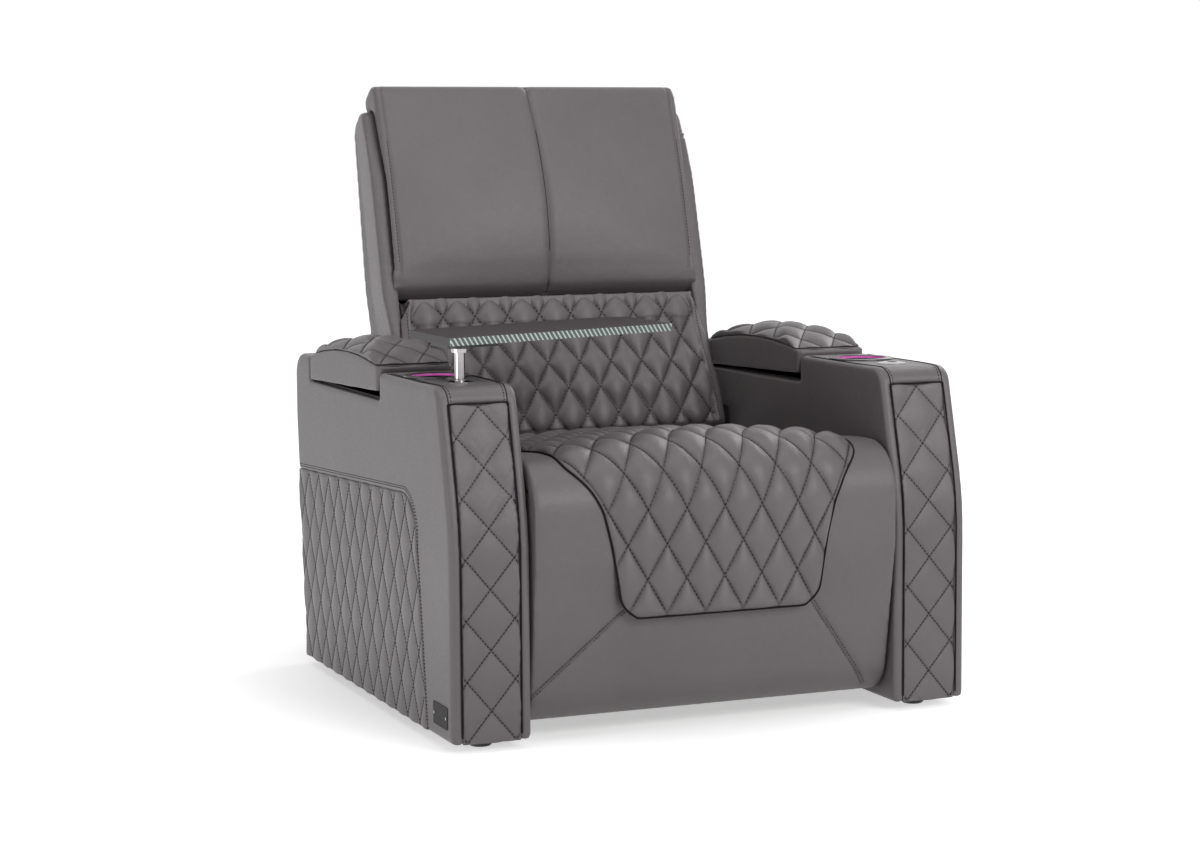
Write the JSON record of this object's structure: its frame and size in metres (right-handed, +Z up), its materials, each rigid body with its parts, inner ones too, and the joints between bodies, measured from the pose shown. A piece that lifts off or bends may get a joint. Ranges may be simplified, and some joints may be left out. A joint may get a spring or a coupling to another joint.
{
  "type": "cinema recliner seat",
  "caption": "Powered cinema recliner with quilted leather, wide storage arms, lit cup holders, a swivel tray, a lifting footrest, a reclining back and a tilting headrest.",
  "frame": {"origin": "middle of the overall bounding box in plan, on the floor (z = 0 under the feet)", "axes": "+Z up, the front of the seat faces -Y, +X is the side without the tray"},
  "size_m": [0.952, 1.0179, 1.0987],
  "materials": {
    "upholstery": "satin",
    "timber": "matte",
    "steel_black": "satin",
    "steel_zinc": "satin",
    "chrome": "polished",
    "cup_steel": "satin",
    "light": "gloss",
    "plastic_black": "matte",
    "nylon": "matte",
    "tray_top": "satin",
    "tray_edge": "gloss",
    "plate": "satin"
  },
  "bodies": {
    "base": {"left_arm": "upholstery", "right_arm": "upholstery", "left_front_panel": "upholstery", "right_front_panel": "upholstery", "left_side_panel": "upholstery", "right_side_panel": "upholstery", "left_bin": "plastic_black", "right_bin": "plastic_black", "left_cup": "cup_steel", "right_cup": "cup_steel", "sockets": "chrome", "light_rings": "light", "lid_hinges": "steel_zinc", "nameplate": "plate", "nameplate_pins": "steel_zinc", "control_panel": "plastic_black", "feet": "plastic_black", "base_frame": "steel_black", "guide_plates": "steel_black", "recline_actuator": "plastic_black"},
    "seat": {"seat_frame": "timber", "seat_springs": "steel_zinc", "glides": "nylon", "left_side_plate": "steel_black", "right_side_plate": "steel_black", "seat_cushion": "upholstery", "seat_pad": "upholstery", "footrest_motor": "plastic_black", "recline_rod": "steel_zinc"},
    "backrest": {"back_frame": "steel_black", "back_shell": "upholstery", "lumbar_cushion": "upholstery", "headrest_motor": "plastic_black"},
    "headrest": {"headrest_cushion": "upholstery", "headrest_tube": "steel_zinc"},
    "footrest": {"footrest_board": "timber", "footrest_cushion": "upholstery", "footrest_pad": "upholstery", "footrest_brackets": "steel_black"},
    "drive_shaft": {"drive_shaft": "steel_black"},
    "left_front_crank": {"left_front_crank": "steel_black"},
    "right_front_crank": {"right_front_crank": "steel_black"},
    "left_long_bar": {"left_long_bar": "steel_black"},
    "right_long_bar": {"right_long_bar": "steel_black"},
    "left_short_bar": {"left_short_bar": "steel_black"},
    "right_short_bar": {"right_short_bar": "steel_black"},
    "left_lid": {"left_lid": "upholstery", "left_lid_leaf": "steel_zinc", "left_lid_pad": "upholstery"},
    "right_lid": {"right_lid": "upholstery", "right_lid_leaf": "steel_zinc", "right_lid_pad": "upholstery"},
    "tray_post": {"tray_post": "chrome"},
    "tray": {"tray_board": "tray_top", "tray_trim": "tray_edge", "tray_bracket": "steel_black"},
    "button_1": {"button_1": "plastic_black"},
    "button_2": {"button_2": "plastic_black"},
    "button_3": {"button_3": "plastic_black"},
    "button_4": {"button_4": "plastic_black"}
  },
  "joints": [
    {"name": "seat_glide", "type": "slide", "parent": "base", "child": "seat", "axis": [0, -1, 0], "range_m": [0, 0.1]},
    {"name": "back_recline", "type": "hinge", "parent": "seat", "child": "backrest", "pos_m": [0, 0.2665, 0.3], "axis": [-1, 0, 0], "range_deg": [0, 40]},
    {"name": "headrest_tilt", "type": "hinge", "parent": "backrest", "child": "headrest", "pos_m": [0, 0.31072, 0.71671], "axis": [1, 0, 0], "range_deg": [0, 50]},
    {"name": "footrest_lift", "type": "hinge", "parent": "seat", "child": "footrest", "pos_m": [0, -0.4738, 0.4533], "axis": [-1, 0, 0], "range_deg": [0, 82]},
    {"name": "shaft_turn", "type": "hinge", "parent": "seat", "child": "drive_shaft", "pos_m": [0, -0.1294, 0.2927], "axis": [-1, 0, 0], "range_deg": [0, 82.1]},
    {"name": "left_crank_swing", "type": "hinge", "parent": "seat", "child": "left_front_crank", "pos_m": [-0.296, -0.25628, 0.35187], "axis": [-1, 0, 0], "range_deg": [0, 82.1]},
    {"name": "left_long_bar_pin", "type": "hinge", "parent": "left_front_crank", "child": "left_long_bar", "pos_m": [-0.296, -0.20466, 0.27814], "axis": [-1, 0, 0], "range_deg": [-82.1, 0]},
    {"name": "left_short_bar_pin", "type": "hinge", "parent": "left_front_crank", "child": "left_short_bar", "pos_m": [-0.296, -0.15877, 0.21261], "axis": [-1, 0, 0], "range_deg": [-82.1, 0]},
    {"name": "right_crank_swing", "type": "hinge", "parent": "seat", "child": "right_front_crank", "pos_m": [0.296, -0.25628, 0.35187], "axis": [-1, 0, 0], "range_deg": [0, 82.1]},
    {"name": "right_long_bar_pin", "type": "hinge", "parent": "right_front_crank", "child": "right_long_bar", "pos_m": [0.296, -0.20466, 0.27814], "axis": [-1, 0, 0], "range_deg": [-82.1, 0]},
    {"name": "right_short_bar_pin", "type": "hinge", "parent": "right_front_crank", "child": "right_short_bar", "pos_m": [0.296, -0.15877, 0.21261], "axis": [-1, 0, 0], "range_deg": [-82.1, 0]},
    {"name": "left_lid_hinge", "type": "hinge", "parent": "base", "child": "left_lid", "pos_m": [-0.406, 0.3095, 0.599], "axis": [-1, 0, 0], "range_deg": [0, 85]},
    {"name": "right_lid_hinge", "type": "hinge", "parent": "base", "child": "right_lid", "pos_m": [0.406, 0.3095, 0.599], "axis": [-1, 0, 0], "range_deg": [0, 85]},
    {"name": "tray_lift", "type": "slide", "parent": "base", "child": "tray_post", "axis": [0, 0, 1], "range_m": [0, 0.12]},
    {"name": "tray_swivel", "type": "hinge", "parent": "tray_post", "child": "tray", "pos_m": [-0.406, -0.3385, 0.67], "axis": [0, 0, 1], "continuous": true},
    {"name": "button_1_press", "type": "slide", "parent": "base", "child": "button_1", "axis": [-1, 0, 0], "range_m": [0, 0.002], "stiffness_N_per_m": 800, "springref_m": -0.001},
    {"name": "button_2_press", "type": "slide", "parent": "base", "child": "button_2", "axis": [-1, 0, 0], "range_m": [0, 0.002], "stiffness_N_per_m": 800, "springref_m": -0.001},
    {"name": "button_3_press", "type": "slide", "parent": "base", "child": "button_3", "axis": [-1, 0, 0], "range_m": [0, 0.002], "stiffness_N_per_m": 800, "springref_m": -0.001},
    {"name": "button_4_press", "type": "slide", "parent": "base", "child": "button_4", "axis": [-1, 0, 0], "range_m": [0, 0.002], "stiffness_N_per_m": 800, "springref_m": -0.001}
  ],
  "couplings": [
    {"joint": "back_recline", "follows": "seat_glide", "rad_per_m": 6.98},
    {"joint": "shaft_turn", "follows": "footrest_lift", "ratio": 1},
    {"joint": "left_crank_swing", "follows": "footrest_lift", "ratio": 1},
    {"joint": "left_long_bar_pin", "follows": "footrest_lift", "ratio": -1},
    {"joint": "left_short_bar_pin", "follows": "footrest_lift", "ratio": -1},
    {"joint": "right_crank_swing", "follows": "footrest_lift", "ratio": 1},
    {"joint": "right_long_bar_pin", "follows": "footrest_lift", "ratio": -1},
    {"joint": "right_short_bar_pin", "follows": "footrest_lift", "ratio": -1}
  ]
}
